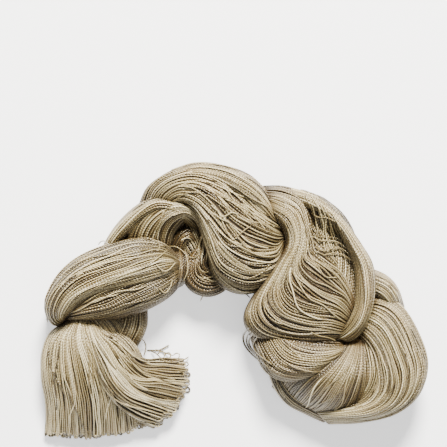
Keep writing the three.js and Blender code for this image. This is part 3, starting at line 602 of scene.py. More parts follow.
FLOOR = 0.5
for index, (name, lobe) in enumerate(lobes.items()):
    piece, gap, bunch, own, rough, ridge, strays = LIE[name]
    bag = bags[piece]
    seed = 100 + index * 17
    fill = name.endswith("_fill")
    layers = ((-0.45, 1.0, 1.0),) if fill else ((-0.42, 1.0, 1.0), (-1.35, 1.05, 0.95))
    for layer, (level, thin_out, size) in enumerate(layers):
        count = max(int(lobe.perimeter / (gap * thin_out)), 6)
        q = (np.arange(count) + 0.5 * layer + rng.uniform(-0.18, 0.18, count)) / count
        p, n, fade = lay_strands(lobe, seed, q, level, own, bunch, rough * (1 - 0.5 * layer), ridge, gap)
        base = YARN / 2 * size * rng.uniform(0.80, 1.02, count) * FINER.get(name, 1.0)
        tones = 0.34 * (np.arange(count) % 2) + 0.66 * rng.uniform(0, 1, count)
        ends_open = name in FAN_ENDS
        centre = (p[:, 0].mean(0), p[:, -1].mean(0))
        order = range(count)
        for k in order:
            path, normal = p[k], n[k]
            radius = radius_of(fade[0], base[k])
            if ends_open and layer == 0 and k % 2 == 0 and k + 1 < count:
                mate, mate_n = p[k + 1], n[k + 1]
                reach = rng.uniform(-0.4, 3.0) + 1.6 * float(noise2(k / count * 26.0, 0.5, 77))
                t0 = path[-1] - path[-3]; t0 /= np.linalg.norm(t0)
                t1 = mate[-1] - mate[-3]; t1 /= np.linalg.norm(t1)
                a, b = path[-1] + t0 * reach, mate[-1] + t1 * reach
                u = np.linspace(0, 1, 9)[:, None]
                grip = 1.5 + np.linalg.norm(b - a) * 0.5
                turn = ((2 * u ** 3 - 3 * u ** 2 + 1) * a + (u ** 3 - 2 * u ** 2 + u) * t0 * grip * 2
                        + (-2 * u ** 3 + 3 * u ** 2) * b - (u ** 3 - u ** 2) * t1 * grip * 2)
                turn_n = normal[-1] * (1 - u) + mate_n[-1] * u
                path = np.vstack([path, turn, mate[::-1]])
                normal = np.vstack([normal, turn_n, mate_n[::-1]])
                radius = np.concatenate([radius, np.full(9, radius[-1]), radius[::-1]])
            elif ends_open and layer == 0:
                if k % 2 == 1:
                    continue
            elif ends_open:
                t0 = path[-1] - path[-3]; t0 /= np.linalg.norm(t0)
                tip = path[-1] + t0[None] * np.array([[0.8], [1.6]]) * rng.uniform(0.2, 1.6)
                path = np.vstack([path, tip]); normal = np.vstack([normal, normal[-1:], normal[-1:]])
                radius = np.concatenate([radius, radius[-1:] * 0.9, radius[-1:] * 0.7])
            if not ends_open:
                # the strands close over the lobe's two ends
                first, last = path[0] - path[1], path[-1] - path[-2]
                first, last = first / np.linalg.norm(first), last / np.linalg.norm(last)
                path = np.vstack([centre[0] * 0.85 + path[0] * 0.15, centre[0] * 0.4 + path[0] * 0.6, path,
                                  centre[1] * 0.4 + path[-1] * 0.6, centre[1] * 0.85 + path[-1] * 0.15])
                normal = np.vstack([first, first, normal, last, last])
                radius = np.concatenate([radius[:1] * 0.7, radius[:1] * 0.9, radius, radius[-1:] * 0.9, radius[-1:] * 0.7])
            path = path.copy()
            path[:, 2] = np.maximum(path[:, 2], FLOOR * (0.98 + 0.1 * tones[k]))
            # painted shade: each lobe's listed darkening, plus more for the lower layer of strands
            cut_hidden(bag, path, normal, radius, tones[k], name, 1.5 + 0.6 * layer, NEIGHBOUR_SHADE.get(name, 0.0) + (0.3 if ends_open else 0.38) * layer,
                       4 if layer or fill else 5)
    # strands that stray over the others
    for k in range(strays):
        a0 = rng.uniform(0.05, 0.6) * lobe.length
        a1 = min(a0 + rng.uniform(0.25, 0.6) * lobe.length, lobe.length * 0.97)
        count = max(int((a1 - a0) / STEP), 6)
        length = np.linspace(a0, a1, count)
        s = lobe.s_at(length)
        q0 = rng.uniform(0.06, 0.44)
        q1 = q0 + rng.uniform(-0.07, 0.07)
        u = np.linspace(0, 1, count)
        wob = 0.012 * noise2(length / 11.0, np.full(count, k * 3.7), seed + 9)
        q = q0 + (q1 - q0) * (u * u * (3 - 2 * u)) + wob
        lift = 0.45 * np.sin(math.pi * u) ** 0.5 - 0.35
        pp, nn = lobe.point(s, lobe.angle_at(q), lift)
        pp[:, 2] = np.maximum(pp[:, 2], FLOOR)
        cut_hidden(bag, pp, nn, np.full(count, YARN / 2 * rng.uniform(0.7, 0.95)), rng.uniform(0, 1), name, 1.0)

# the ends of the fan are full of yarn: short looped ends over the whole end face
for name in FAN_ENDS:
    lobe = lobes[name]
    c = lobe.columns(np.array([float(lobe.last)]))[0]
    width = np.hypot(c[2] - c[0], c[3] - c[1])
    height = c[4] - max(c[5], 0)
    for k in range(int(width * height / 4.5)):
        scale = math.sqrt(rng.uniform(0.02, 0.9))
        angle = rng.uniform(0, 2 * math.pi)
        length = np.linspace(lobe.length - rng.uniform(9, 14), lobe.length, 7)
        s = lobe.s_at(length)
        pp, nn = lobe.point(s, angle + 0 * s, 0.0, scale)
        t0 = pp[-1] - pp[-2]; t0 /= np.linalg.norm(t0)
        reach = rng.uniform(-1.0, 2.6)
        across = np.cross(t0, [0, 0, 1.0]); across /= np.linalg.norm(across)
        tilt = rng.uniform(-0.5, 0.5)
        across = across * math.cos(tilt) + np.array([0, 0, 1.0]) * math.sin(tilt)
        bend = rng.uniform(0.5, 0.9)
        u = np.linspace(0, math.pi, 8)[1:, None]
        turn = pp[-1] + t0 * reach + t0 * np.sin(u) * bend * 1.3 + across * (1 - np.cos(u)) * bend
        back = turn[-1] - t0[None] * np.array([[1.5], [4.0], [7.0]])
        path = np.vstack([pp, pp[-1:] + t0 * reach, turn, back])
        path[:, 2] = np.maximum(path[:, 2], FLOOR)
        normal = np.tile(np.array([0, 0, 1.0]), (len(path), 1))
        # painted light: a negative painted shade keeps these loops lighter than the crease shade would make them
        bags["yarn_fan"].add(path, normal, np.full(len(path), YARN / 2 * rng.uniform(0.75, 0.95)), rng.uniform(0, 1), -0.45, 4)

# ---------------------------------------------------------------- loose strands
# Points over the hank: x, y in mm and lift above what lies under them.
LOOSE = {
        "tie_left": [(-49.5, 30.75, 0.6), (-45, 31.75, 1), (-40, 31.5, 1), (-37, 30.25, 1.2), (-35.5,
        28.25, 1.6), (-32, 27.75, 1.6), (-28, 27.5, 1.4), (-25, 25.75, 1.2), (-22.5, 23.25, 1.2),
        (-20.5, 22.25, 0.8), (-18, 22.25, 0.6), (-16.5, 24.25, 0.6), (-16, 27.75, 0.6), (-15.75, 31.25,
        0.8), (-15, 33, 1.4), (-13.5, 33.5, 1.6), (-12, 32.75, 1.4), (-11, 29.75, 0.8), (-10.5, 24.75,
        0.6)],
        "tie_down": [(-24, 25.25, 0.8), (-22.5, 22.25, 1.2), (-22, 18.75, 1), (-22.25, 14.75, 0.8),
        (-24, 10.75, 0.6)],
    "tie_short": [(-35.5, 28.25, 1.2), (-36, 26.25, 1), (-37, 24.75, 0.4)],
        "leaf_top_a": [(-68, 28.25, 0.4), (-66.5, 29.75, 1.2), (-64, 30.25, 1.5), (-62, 29.25, 1), (-60,
        28.25, 0.3)],
        "leaf_pale": [(-32, 25.75, 0.6), (-37, 21.75, 0.9), (-43, 17.75, 0.9), (-51, 14.75, 0.9), (-60,
        11.25, 0.7), (-67, 7.25, 0.3)],
    "leaf_arc": [(-37, 18.75, 0.4), (-33.5, 15.75, 1), (-30.5, 16.75, 1), (-28, 19.75, 0.5)],
    "leaf_arc2": [(-36, 7.25, 0.4), (-33, 4.75, 0.8), (-30.5, 7.75, 1), (-29.5, 11.25, 0.4)],
    "ball_y1": [(-5.5, 42.25, 0.5), (-3, 42.75, 1.2), (-0.5, 44.25, 1.6), (2, 43.75, 1.4), (3, 41.75, 0.6)],
        "ball_y2": [(-3, 38.75, 0.4), (-1, 36.25, 1.2), (2, 32.75, 1.6), (4, 34.25, 1.6), (6.5, 36.25,
        1.4), (9, 37.75, 0.6)],
    "ball_y3": [(0, 30.75, 0.4), (2.5, 32.25, 1.6), (4, 30.75, 1.4), (6, 27.75, 0.5)],
    "ball_y4": [(-9, 44.25, 0.4), (-5.5, 41.25, 1.1), (-2, 39.75, 1.1), (2, 36.75, 0.6)],
    "ball_y5": [(4, 48.75, 0.4), (8, 45.75, 1), (12, 41.25, 1), (16, 36.25, 0.5)],
    "ball_low": [(-5, 19.75, 0.4), (0, 14.75, 0.9), (7, 12.25, 1), (14, 14.75, 0.9), (19, 19.75, 0.4)],
        "left_a": [(9, -11.75, 0.2), (7, -15.25, 1), (5.75, -19.25, 1), (7, -23.75, 1), (10.5, -27.75,
        1), (15, -30.75, 1), (18, -33.75, 0.5)],
        "left_b": [(10, -13.25, 0.2), (8, -17.25, 1), (7.5, -21.25, 1.2), (9, -24.75, 1), (13, -28.25,
        1.2), (17, -31.25, 1), (20, -34.25, 0.3)],
        "left_c": [(11, -14.25, 0.2), (9, -18.75, 1), (8.75, -22.25, 1.2), (11, -25.75, 1.2), (14.5,
        -28.75, 1), (18.5, -32.25, 0.3)],
        "left_d": [(13, -16.25, 0.2), (11, -20.25, 1), (11, -23.25, 1.2), (13, -25.75, 1.2), (16,
        -27.75, 1), (19.5, -30.25, 0.3)],
        "fly_a": [(-47.5, -17.25, 0.4), (-45.5, -19.25, 0.5), (-44, -21.75, 0.5), (-43.75, -25.25, 0.4),
        (-44.5, -27.75, 0.3)],
        "fly_b": [(-43.5, -25.75, 0.6), (-40.5, -25.75, 0.8), (-37.5, -25.75, 0.9), (-35, -24.75, 1.2),
        (-32, -23, 1.6)],
    "fly_c": [(-39, -25.25, 0.8), (-36, -26.25, 0.8), (-33, -27.25, 0.6), (-30, -28.25, 0.3)],
    "fly_d": [(-91, -6.25, 0.5), (-93, -8.25, 0.8), (-93.5, -11.25, 0.8)],
    "fly_e": [(-14.5, 3.75, 0.3), (-15, 1.75, 0.4), (-16, -0.25, 0.5)],
    "fly_f": [(1, 7.75, 0.4), (4, 5.75, 0.4), (7.5, 3.25, 0.4), (9, 1.75, 0.3)],
        "fly_g": [(-26, -40.75, 0.4), (-23.5, -41.25, 0.4), (-21.75, -42, 0.4), (-21.75, -43.25, 0.4),
        (-23.5, -43.5, 0.4), (-26, -43.25, 0.3)],
    "mesh_a": [(35.5, 52.75, 0.5), (39.5, 43.75, 1), (43, 34.25, 0.8), (46.5, 25.75, 0.4)],
        "mesh_b": [(38.5, 52.75, 0.5), (42, 46.25, 1), (44.5, 38.75, 1.2), (44.5, 31.75, 0.8), (45.5,
        25.75, 0.4)],
        "mesh_c": [(43, 47.75, 0.5), (45.5, 41.75, 1.2), (45.5, 35.75, 1.2), (47, 29.25, 0.8), (49.5,
        24.75, 0.3)],
        "mesh_d": [(45.5, 46.75, 0.5), (47.5, 39.75, 1.2), (48.5, 33.75, 1), (51.5, 27.75, 0.8), (54.5,
        22.75, 0.3)],
    "mesh_e": [(48, 42.75, 0.4), (50.5, 36.25, 1), (53, 30.75, 1), (56, 25.25, 0.3)],
        "mesh_h1": [(39.5, 32.75, 0.6), (43, 30.75, 1.4), (47.5, 30.75, 1.5), (52, 29.75, 1.4), (56,
        26.75, 0.6)],
        "mesh_h2": [(40, 27.75, 0.6), (44, 25.75, 1.4), (49, 26.75, 1.6), (53.5, 26.75, 1.4), (57.5,
        23.75, 0.6)],
        "mesh_h3": [(40.5, 25.75, 0.6), (45, 23.75, 1.2), (50, 24.75, 1.4), (55, 23.25, 1.2), (58.5,
        20.75, 0.5)],
    "mesh_h4": [(39, 34.75, 0.5), (42, 32.75, 1.2), (45.5, 32.25, 1.2), (49.5, 32.25, 1), (54, 30.75, 0.4)],
        "pouch_v1": [(-17, 24.75, 0.6), (-16, 29.25, 1), (-14.5, 32.75, 1.4), (-12.75, 33, 1.4), (-12,
        29.25, 1), (-12.5, 23.75, 0.6), (-13, 19.75, 0.3)],
        "pouch_v2": [(-16, 21.75, 0.5), (-14.5, 26.75, 1), (-14, 30.75, 1.2), (-13, 31.75, 1.2), (-11,
        27.75, 1), (-10, 22.75, 0.6), (-10.5, 17.75, 0.3)],
    "pocket_a": [(38.5, -14.25, 0.4), (43, -16.25, 0.8), (47.5, -17.25, 0.8), (51, -18.75, 0.4)],
        "curl_a": [(-38, -27.75, 0.4), (-36.5, -26.25, 1), (-35, -26, 1.2), (-34, -27.25, 1), (-34.5,
        -28.75, 0.4)],
        "curl_b": [(-34.5, -28.25, 0.4), (-33, -26.75, 1.2), (-31.5, -26.75, 1.4), (-31, -28.25, 0.8),
        (-32, -29.25, 0.4)],
        "curl_c": [(-30, -28.25, 0.5), (-28.5, -27, 1), (-27, -27, 1.2), (-26.5, -28.25, 0.9), (-27.5,
        -29.75, 0.4)],
        "curl_d": [(-27, -32.25, 0.5), (-24.5, -31.25, 0.8), (-22.5, -31.75, 0.9), (-22.25, -33.25,
        0.8), (-24, -34, 0.5)],
        "curl_e": [(-26, -36.75, 0.5), (-23.5, -36.25, 0.8), (-21.5, -37, 0.8), (-21.75, -38.5, 0.7),
        (-24, -38.75, 0.4)],
        "curl_f": [(-41, -26.25, 0.5), (-38, -27.25, 1), (-34.5, -29.75, 1.2), (-30, -30.75, 1), (-24.5,
        -30.25, 0.8), (-22, -29, 0.6)],
        "curl_g": [(-36, -53.25, 0.4), (-33.5, -54.25, 0.6), (-32, -55.25, 0.6), (-32.5, -56.5, 0.5),
        (-34.5, -56.25, 0.3)],
    "mesh_f": [(37.5, 51.25, 0.5), (39.5, 45.75, 1), (41, 39.75, 1), (42, 34.25, 0.4)],
    "mesh_g": [(40.5, 50.75, 0.5), (42.5, 45.25, 1.1), (44, 39.75, 1.1), (45.5, 33.75, 0.4)],
    "mesh_i": [(44, 48.25, 0.5), (46.5, 42.75, 1), (48.5, 37.25, 1), (50.5, 31.75, 0.4)],
    "mesh_j": [(47.5, 45.25, 0.5), (50.5, 40.25, 1), (53, 35.25, 1), (55.5, 29.75, 0.4)],
    "mesh_k": [(38, 44.75, 0.5), (41.5, 42.25, 1.3), (46, 41.75, 1.3), (50.5, 39.75, 0.6)],
}


def over(x, y):
    """Height of the hank under a point, a little smoothed."""
    best = 0.0
    p = np.stack([x, y, 0 * x], -1)
    j, i = cell_of(p)
    total = np.zeros(len(x))
    for dy in (-2, 0, 2):
        for dx in (-2, 0, 2):
            total += skyline[np.clip(j + dy, 0, NY - 1), np.clip(i + dx, 0, NX - 1)]
    return total / 9


for k, (name, row) in enumerate(LOOSE.items()):
    row = np.array(row, float)
    row[:, :2] += SHIFT
    path = smooth_path(row, 1.0)
    z = over(path[:, 0], path[:, 1])
    # a strand bridges the dips: it never drops faster than yarn would
    for _ in range(6):
        z[1:-1] = np.maximum(z[1:-1], (z[:-2] + z[2:]) / 2)
    path[:, 2] = np.maximum(z + path[:, 2] * 0.8, FLOOR)
    path[:, 2] = np.convolve(np.pad(path[:, 2], 2, mode="edge"), np.ones(5) / 5, mode="valid")
    normal = np.tile(np.array([0, 0, 1.0]), (len(path), 1))
    bags["yarn_loose"].add(path, normal, np.full(len(path), YARN / 2 * rng.uniform(0.62, 0.8)
                           * (1.25 if name.startswith("left") else 1.0)),
                           rng.uniform(0.2, 0.8) * (0.5 if name.startswith("left") else 1) + (0.5 if name.startswith("left") else 0))


# ---------------------------------------------------------------- meshes
def strands_object(name, bag, material):
    verts, faces, uvs, tones, shades, crests = [], [], [], [], [], []
    base = 0
    for p, n, r, tone, added_shade, sides in bag.runs:
        # a ridge of the ring points outwards
        around = np.linspace(0, 2 * math.pi, sides, endpoint=False) + math.pi / 2
        cosines, sines = np.cos(around), np.sin(around)
        count = len(p)
        t = np.gradient(p, axis=0)
        t /= np.linalg.norm(t, axis=1, keepdims=True) + 1e-12
        up = n - t * (n * t).sum(1, keepdims=True)
        length = np.linalg.norm(up, axis=1, keepdims=True)
        weak = length[:, 0] < 0.2
        if weak.any():
            spare = np.cross(t, np.roll(t, 1, axis=1))
            up[weak] = spare[weak]
            length = np.linalg.norm(up, axis=1, keepdims=True)
        up /= length + 1e-12
        for m in range(1, count):     # no sudden turn of the ring
            if (up[m] * up[m - 1]).sum() < 0:
                up[m] = -up[m]
        side = np.cross(t, up)
        r = np.broadcast_to(r, (count,)).copy()
        r[0] *= 0.6
        r[-1] *= 0.6
        ring = (p[:, None] + side[:, None] * (cosines[None, :, None] * r[:, None, None])
                + up[:, None] * (sines[None, :, None] * r[:, None, None]))
        verts.append(ring.reshape(-1, 3))
        walk = np.concatenate([[0], np.cumsum(np.linalg.norm(np.diff(p, axis=0), axis=1))])
        k = np.arange(sides)
        k2 = (k + 1) % sides
        i0 = (np.arange(count - 1) * sides)[:, None] + base
        quad = np.stack([i0 + k, i0 + sides + k, i0 + sides + k2, i0 + k2], -1).reshape(-1, 4)
        faces.append(quad)
        u0 = np.repeat(walk[:-1], sides); u1 = np.repeat(walk[1:], sides)
        v0 = np.tile(k / sides, count - 1); v1 = np.tile((k + 1) / sides, count - 1)
        uv = np.stack([np.stack([u0, v0], -1), np.stack([u1, v0], -1),
                       np.stack([u1, v1], -1), np.stack([u0, v1], -1)], 1)
        uv[..., 0] += tone * 37.0
        uvs.append(uv.reshape(-1, 2))
        tones.append(np.full(count * sides, tone))
        shades.append(np.full(count * sides, added_shade))
        crests.append(np.tile(sines, count))
        base += count * sides
    verts = np.vstack(verts)
    open_ends = name in ("yarn_fan", "yarn_over", "yarn_loose")
    # painted shade: strands are darkened towards the floor, less for the open ends, and the painted shade is capped
    # lower there
    near_floor_shade = (0.08 if open_ends else 0.42) * np.clip(1 - verts[:, 2] / 16.0, 0, 1) ** 1.2
    shades = [np.clip(np.concatenate(shades) + shade_at(verts) + near_floor_shade, 0.0, 0.62 if open_ends else 1.0)]
    verts *= MM
    faces = np.vstack(faces)
    mesh = bpy.data.meshes.new(name)
    mesh.vertices.add(len(verts))
    mesh.vertices.foreach_set("co", verts.astype(np.float32).ravel())
    mesh.loops.add(len(faces) * 4)
    mesh.loops.foreach_set("vertex_index", faces.astype(np.int32).ravel())
    mesh.polygons.add(len(faces))
    mesh.polygons.foreach_set("loop_start", (np.arange(len(faces)) * 4).astype(np.int32))
    mesh.polygons.foreach_set("loop_total", np.full(len(faces), 4, np.int32))
    mesh.polygons.foreach_set("use_smooth", np.ones(len(faces), bool))
    uv_layer = mesh.uv_layers.new(name="Yarn")
    uv_layer.data.foreach_set("uv", np.vstack(uvs).astype(np.float32).ravel())
    for label, values in (("tone", tones), ("shade", shades), ("crest", crests)):
        attribute = mesh.attributes.new(label, "FLOAT", "POINT")
        attribute.data.foreach_set("value", np.concatenate(values).astype(np.float32))
    mesh.update(calc_edges=True)
    mesh.validate()
    obj = bpy.data.objects.new(name, mesh)
    bpy.context.scene.collection.objects.link(obj)
    mesh.materials.append(material)
    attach(obj, "root")
    print(name, "strands", len(bag.runs), "triangles", len(faces) * 2)
    return obj


def core_object(name, material):
    """The body of yarn under the strands: every lobe's skin, a little inside."""
    verts, faces, uvs, shades = [], [], [], []
    base = 0
    around, across = 44, 34
    for lobe in lobes.values():
        s = np.linspace(0, lobe.last, across)
        scale = np.ones(across); scale[0] = scale[-1] = 0.7
        angle = np.linspace(0, 2 * math.pi, around, endpoint=False)
        p, n = lobe.point(s[:, None], angle[None], -1.5, scale[:, None])
        p[..., 2] = np.maximum(p[..., 2], 0.15)
        ring = p.reshape(-1, 3)
        ends = np.stack([p[0].mean(0), p[-1].mean(0)])
        verts.append(np.vstack([ring, ends]))
        shades.append(shade_at(np.vstack([ring, ends])))
        k = np.arange(around); k2 = (k + 1) % around
        i0 = (np.arange(across - 1) * around)[:, None] + base
        quad = np.stack([i0 + k, i0 + k2, i0 + around + k2, i0 + around + k], -1).reshape(-1, 4)
        first, last = base + across * around, base + across * around + 1
        cap0 = np.stack([np.full(around, first), base + k2, base + k], -1)
        top = base + (across - 1) * around
        cap1 = np.stack([np.full(around, last), top + k, top + k2], -1)
        run = np.interp(s, lobe.s_of, lobe.length_of)
        u0 = np.repeat(run[:-1], around); u1 = np.repeat(run[1:], around)
        v0 = np.tile(k / around, across - 1) * lobe.perimeter
        v1 = np.tile((k + 1) / around, across - 1) * lobe.perimeter
        uv = np.stack([np.stack([u0, v0], -1), np.stack([u0, v1], -1),
                       np.stack([u1, v1], -1), np.stack([u1, v0], -1)], 1)
        a, b = p[0, 0], p[0, 1]
        vol = np.einsum("ij,ij->i", ring.reshape(-1, 3)[quad[:, 0] - base],
                        np.cross(ring[quad[:, 1] - base], ring[quad[:, 2] - base])).sum()
        if vol < 0:
            quad = quad[:, ::-1]
            uv = uv[:, ::-1]
            cap0 = cap0[:, ::-1]
            cap1 = cap1[:, ::-1]
        faces.append((quad, np.vstack([cap0, cap1])))
        uvs.append((uv.reshape(-1, 2), np.zeros((around * 6, 2))))
        base += across * around + 2
    verts = np.vstack(verts) * MM
    loops = np.concatenate([np.concatenate([q.ravel(), t.ravel()]) for q, t in faces])
    totals = np.concatenate([np.concatenate([np.full(len(q), 4), np.full(len(t), 3)]) for q, t in faces])
    starts = np.concatenate([[0], np.cumsum(totals)[:-1]])
    uv = np.vstack([np.vstack(pair) for pair in uvs])
    mesh = bpy.data.meshes.new(name)
    mesh.vertices.add(len(verts))
    mesh.vertices.foreach_set("co", verts.astype(np.float32).ravel())
    mesh.loops.add(len(loops))
    mesh.loops.foreach_set("vertex_index", loops.astype(np.int32))
    mesh.polygons.add(len(totals))
    mesh.polygons.foreach_set("loop_start", starts.astype(np.int32))
    mesh.polygons.foreach_set("loop_total", totals.astype(np.int32))
    mesh.polygons.foreach_set("use_smooth", np.ones(len(totals), bool))
    mesh.uv_layers.new(name="Yarn").data.foreach_set("uv", uv.astype(np.float32).ravel())
    attribute = mesh.attributes.new("shade", "FLOAT", "POINT")
    attribute.data.foreach_set("value", np.concatenate(shades).astype(np.float32))
    mesh.update(calc_edges=True)
    mesh.validate()
    obj = bpy.data.objects.new(name, mesh)
    bpy.context.scene.collection.objects.link(obj)
    mesh.materials.append(material)
    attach(obj, "root")
    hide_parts("hank")
    return obj


# ---------------------------------------------------------------- materials
def rgb(r, g, b):
    """sRGB 0..255 to linear."""
    def f(v):
        v /= 255.0
        return v / 12.92 if v <= 0.04045 else ((v + 0.055) / 1.055) ** 2.4
    return (f(r), f(g), f(b), 1.0)


def nodes_of(name):
    material = bpy.data.materials.new(name)
    material.use_nodes = True
    tree = material.node_tree
    shader = tree.nodes["Principled BSDF"]
    return material, tree, shader


def node(tree, kind, **values):
    n = tree.nodes.new(kind)
    for key, value in values.items():
        if key in n.inputs:
            n.inputs[key].default_value = value
        else:
            setattr(n, key, value)
    return n


def ramp(tree, source, stops):
    r = tree.nodes.new("ShaderNodeValToRGB")
    tree.links.new(source, r.inputs["Fac"])
    while len(r.color_ramp.elements) > 1:
        r.color_ramp.elements.remove(r.color_ramp.elements[-1])
    r.color_ramp.elements[0].position = stops[0][0]
    r.color_ramp.elements[0].color = stops[0][1]
    for position, colour in stops[1:]:
        e = r.color_ramp.elements.new(position)
        e.color = colour
    return r.outputs["Color"]


def mixed(tree, kind, fac, a, b):
    m = tree.nodes.new("ShaderNodeMix")
    m.data_type = "RGBA"
    m.blend_type = kind
    for socket, value in ((m.inputs[0], fac), (m.inputs[6], a), (m.inputs[7], b)):
        if hasattr(value, "is_output"):
            tree.links.new(value, socket)
        else:
            socket.default_value = value
    return m.outputs[2]


def maths(tree, kind, a, b=None, c=None):
    m = tree.nodes.new("ShaderNodeMath")
    m.operation = kind
    for socket, value in zip(m.inputs, (a, b, c)):
        if value is None:
            continue
        if hasattr(value, "is_output"):
            tree.links.new(value, socket)
        else:
            socket.default_value = value
    return m.outputs[0]


def silk_material():
    material, tree, shader = nodes_of("silk_yarn")
    links = tree.links
    tone = node(tree, "ShaderNodeAttribute", attribute_name="tone").outputs["Fac"]
    shade = node(tree, "ShaderNodeAttribute", attribute_name="shade").outputs["Fac"]
    crest = node(tree, "ShaderNodeAttribute", attribute_name="crest").outputs["Fac"]
    uv = node(tree, "ShaderNodeUVMap", uv_map="Yarn")
    split = node(tree, "ShaderNodeSeparateXYZ")
    links.new(uv.outputs["UV"], split.inputs[0])
    # two plies that wind round each other
    turn = maths(tree, "MULTIPLY", split.outputs["X"], 2 * math.pi / PLY_PERIOD)
    wave = maths(tree, "ADD", turn, maths(tree, "MULTIPLY", split.outputs["Y"], 2 * math.pi))
    ply = maths(tree, "ABSOLUTE", maths(tree, "SINE", maths(tree, "MULTIPLY", wave, 0.5)))
    ply = maths(tree, "POWER", ply, 0.7)
    # fine fibres
    where = node(tree, "ShaderNodeTexCoord")
    fibre = node(tree, "ShaderNodeTexNoise", Scale=2600.0, Detail=2.0, Roughness=0.6)
    links.new(where.outputs["Object"], fibre.inputs["Vector"])
    patch = node(tree, "ShaderNodeTexNoise", Scale=55.0, Detail=3.0, Roughness=0.55)
    links.new(where.outputs["Object"], patch.inputs["Vector"])
    speck = node(tree, "ShaderNodeTexNoise", Scale=850.0, Detail=2.0, Roughness=0.5)
    links.new(where.outputs["Object"], speck.inputs["Vector"])
    colour = ramp(tree, tone, [(0.0, rgb(232, 225, 194)), (0.25, rgb(190, 180, 143)),
                               (0.65, rgb(140, 127, 92)), (1.0, rgb(70, 58, 34))])
    colour = mixed(tree, "MULTIPLY", 0.6, colour,
                   ramp(tree, patch.outputs["Fac"], [(0.3, rgb(212, 200, 164)), (0.5, rgb(255, 252, 240)),
                                                     (0.7, rgb(255, 238, 214))]))
    # painted shade in the grooves between the two plies
    colour = mixed(tree, "MULTIPLY", 0.85, colour,
                   ramp(tree, ply, [(0.0, rgb(108, 84, 52)), (0.6, rgb(255, 255, 255))]))
    colour = mixed(tree, "MULTIPLY", 0.2, colour,
                   ramp(tree, speck.outputs["Fac"], [(0.38, rgb(150, 134, 102)), (0.58, rgb(255, 255, 255))]))
    # painted shade: each strand is darker on its sides and underside than along its crest
    colour = mixed(tree, "MULTIPLY", 0.9, colour,
                   ramp(tree, crest, [(0.17, rgb(72, 54, 30)), (0.46, rgb(186, 168, 136)), (0.78, rgb(255, 255, 255))]))
    # painted shade: the colour turns darker and golden brown in the creases and on the lower layer
    colour = mixed(tree, "MULTIPLY", ramp(tree, shade, [(0.10, (0, 0, 0, 1)), (0.66, (0.96, 0.96, 0.96, 1))]),
                   colour, rgb(126, 108, 82))
    links.new(colour, shader.inputs["Base Color"])
    rough = maths(tree, "MULTIPLY_ADD", fibre.outputs["Fac"], 0.12, 0.22)
    links.new(rough, shader.inputs["Roughness"])
    height = maths(tree, "MULTIPLY_ADD", ply, 1.0, maths(tree, "MULTIPLY", fibre.outputs["Fac"], 0.1))
    bump = node(tree, "ShaderNodeBump", Strength=0.9, Distance=0.00025)
    links.new(height, bump.inputs["Height"])
    links.new(bump.outputs["Normal"], shader.inputs["Normal"])
    shader.inputs["Sheen Weight"].default_value = 0.05
    shader.inputs["Sheen Roughness"].default_value = 0.35
    shader.inputs["Sheen Tint"].default_value = rgb(255, 244, 222)
    shader.inputs["Specular IOR Level"].default_value = 1.0
    shader.inputs["Specular Tint"].default_value = rgb(255, 246, 222)
    shader.inputs["Coat Weight"].default_value = 0.15
    shader.inputs["Coat Roughness"].default_value = 0.22
    shader.inputs["Coat Tint"].default_value = rgb(255, 246, 224)
    return material


def core_material():
    material, tree, shader = nodes_of("silk_core")
    links = tree.links
    shade = node(tree, "ShaderNodeAttribute", attribute_name="shade").outputs["Fac"]
    uv = node(tree, "ShaderNodeUVMap", uv_map="Yarn")
    split = node(tree, "ShaderNodeSeparateXYZ")
    links.new(uv.outputs["UV"], split.inputs[0])
    wave = maths(tree, "ABSOLUTE", maths(tree, "SINE", maths(tree, "MULTIPLY", split.outputs["Y"], math.pi / YARN)))
    where = node(tree, "ShaderNodeTexCoord")
    mottle = node(tree, "ShaderNodeTexNoise", Scale=520.0, Detail=2.0, Roughness=0.6)
    links.new(where.outputs["Object"], mottle.inputs["Vector"])
    # painted shade: the core is coloured dark brown in stripes, like the shade between strands, and darker still in the
    # creases
    colour = ramp(tree, wave, [(0.0, rgb(38, 28, 14)), (0.9, rgb(92, 76, 50))])
    colour = mixed(tree, "MULTIPLY", 0.9, colour,
                   ramp(tree, mottle.outputs["Fac"], [(0.40, rgb(110, 92, 64)), (0.60, rgb(255, 255, 255))]))
    colour = mixed(tree, "MIX", ramp(tree, shade, [(0.1, (0, 0, 0, 1)), (0.7, (0.8, 0.8, 0.8, 1))]),
                   colour, rgb(58, 46, 28))
    links.new(colour, shader.inputs["Base Color"])
    shader.inputs["Roughness"].default_value = 0.7
    bump = node(tree, "ShaderNodeBump", Strength=0.8, Distance=0.0004)
    links.new(wave, bump.inputs["Height"])
    links.new(bump.outputs["Normal"], shader.inputs["Normal"])
    return material


silk = silk_material()
core = core_object("hank_core", core_material())
for piece, bag in bags.items():
    strands_object(piece, bag, silk)

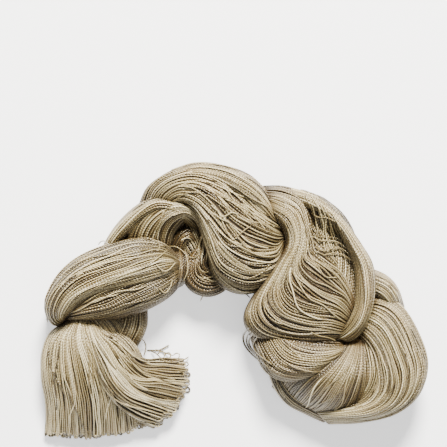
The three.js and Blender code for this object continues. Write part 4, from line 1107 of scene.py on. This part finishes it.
# ---------------------------------------------------------------- floor, light, camera
floor_mesh = bpy.data.meshes.new("floor")
floor_mesh.from_pydata([(-3, -3, 0), (3, -3, 0), (3, 3, 0), (-3, 3, 0)], [], [(0, 1, 2, 3)])
floor = bpy.data.objects.new("floor", floor_mesh)
bpy.context.scene.collection.objects.link(floor)
paper, tree, shader = nodes_of("floor_paper")
shader.inputs["Base Color"].default_value = (0.94, 0.94, 0.94, 1)
shader.inputs["Emission Color"].default_value = (1, 1, 1, 1)
shader.inputs["Emission Strength"].default_value = 0.85
shader.inputs["Roughness"].default_value = 0.85
shader.inputs["Specular IOR Level"].default_value = 0.1
floor_mesh.materials.append(paper)


def area_light(name, at, target, size, watts, colour=(1, 1, 1)):
    light = bpy.data.lights.new(name, "AREA")
    light.shape = "DISK"
    light.size = size
    light.energy = watts
    light.color = colour
    obj = bpy.data.objects.new(name, light)
    bpy.context.scene.collection.objects.link(obj)
    obj.location = at
    d = np.array(target, float) - np.array(at, float)
    d /= np.linalg.norm(d)
    obj.rotation_euler = mathutils.Vector(d).to_track_quat("-Z", "Y").to_euler()
    return obj


area_light("key", (0.12, 0.95, 1.15), (0, 0.0, 0), 0.42, 112.0, (1.0, 0.975, 0.93))
area_light("fill", (0.3, -0.3, 1.5), (0, 0, 0), 1.0, 8.0, (0.97, 0.985, 1.0))
world = bpy.data.worlds.new("studio")
bpy.context.scene.world = world
world.use_nodes = True
world.node_tree.nodes["Background"].inputs["Color"].default_value = (0.97, 0.985, 1.0, 1)
world.node_tree.nodes["Background"].inputs["Strength"].default_value = 0.34

camera_data = bpy.data.cameras.new("camera")
camera = bpy.data.objects.new("camera", camera_data)
bpy.context.scene.collection.objects.link(camera)
camera_data.lens = LENS
camera_data.sensor_width = 36.0
camera_data.clip_start = 0.05
camera_data.clip_end = 20.0
camera.location = (CAMERA_AT[0] * MM, CAMERA_AT[1] * MM, (FIELD * LENS / 36.0 + FIELD_Z) * MM)
camera.rotation_euler = (0, 0, 0)
bpy.context.scene.camera = camera
